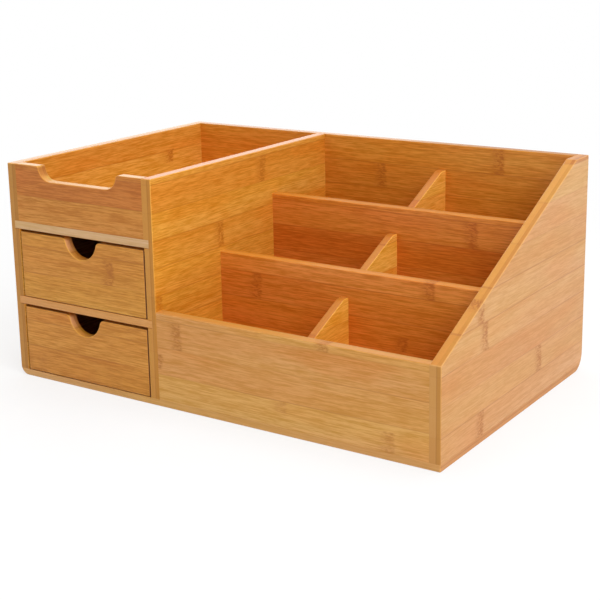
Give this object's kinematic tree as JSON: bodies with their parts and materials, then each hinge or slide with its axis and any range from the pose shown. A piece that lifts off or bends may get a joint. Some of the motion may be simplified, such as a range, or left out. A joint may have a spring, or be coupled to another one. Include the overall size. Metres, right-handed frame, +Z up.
{
  "type": "desk organizer",
  "caption": "Open-topped bamboo desk organizer: a tray over small sliding drawers on the left, stepped open cells under a sloping side on the right.",
  "frame": {"origin": "middle of the footprint, on the surface that the organizer stands on", "axes": "+X to the right as seen from the front, along the length; +Y to the back, so the drawers open towards -Y; +Z up"},
  "size_m": [0.33, 0.21, 0.15],
  "materials": {
    "outer_panel_bamboo": "satin clear lacquer on laminated bamboo",
    "inner_panel_bamboo": "satin clear lacquer on laminated bamboo",
    "shelf_bamboo": "satin clear lacquer on laminated bamboo",
    "cross_wall_bamboo": "satin clear lacquer on laminated bamboo",
    "small_divider_bamboo": "satin clear lacquer on laminated bamboo",
    "drawer_front_bamboo": "satin clear lacquer on laminated bamboo",
    "drawer_box_bamboo": "satin clear lacquer on laminated bamboo"
  },
  "bodies": {
    "cabinet": {"base_plate": "shelf_bamboo", "left_panel": "outer_panel_bamboo", "divider_panel": "inner_panel_bamboo", "right_panel": "outer_panel_bamboo", "back_panel": "inner_panel_bamboo", "tray_floor": "shelf_bamboo", "drawer_shelf": "shelf_bamboo", "tray_front": "drawer_front_bamboo", "front_panel": "outer_panel_bamboo", "front_cross_wall": "cross_wall_bamboo", "rear_cross_wall": "cross_wall_bamboo", "front_small_divider": "small_divider_bamboo", "middle_small_divider": "small_divider_bamboo", "rear_small_divider": "small_divider_bamboo"},
    "upper_drawer": {"upper_drawer_front": "drawer_front_bamboo", "upper_drawer_left_side": "drawer_box_bamboo", "upper_drawer_right_side": "drawer_box_bamboo", "upper_drawer_back": "drawer_box_bamboo", "upper_drawer_bottom": "drawer_box_bamboo"},
    "lower_drawer": {"lower_drawer_front": "drawer_front_bamboo", "lower_drawer_left_side": "drawer_box_bamboo", "lower_drawer_right_side": "drawer_box_bamboo", "lower_drawer_back": "drawer_box_bamboo", "lower_drawer_bottom": "drawer_box_bamboo"}
  },
  "joints": [
    {"name": "upper_drawer_slide", "type": "slide", "parent": "cabinet", "child": "upper_drawer", "axis": [0, -1, 0], "range_m": [0, 0.165]},
    {"name": "lower_drawer_slide", "type": "slide", "parent": "cabinet", "child": "lower_drawer", "axis": [0, -1, 0], "range_m": [0, 0.165]}
  ]
}
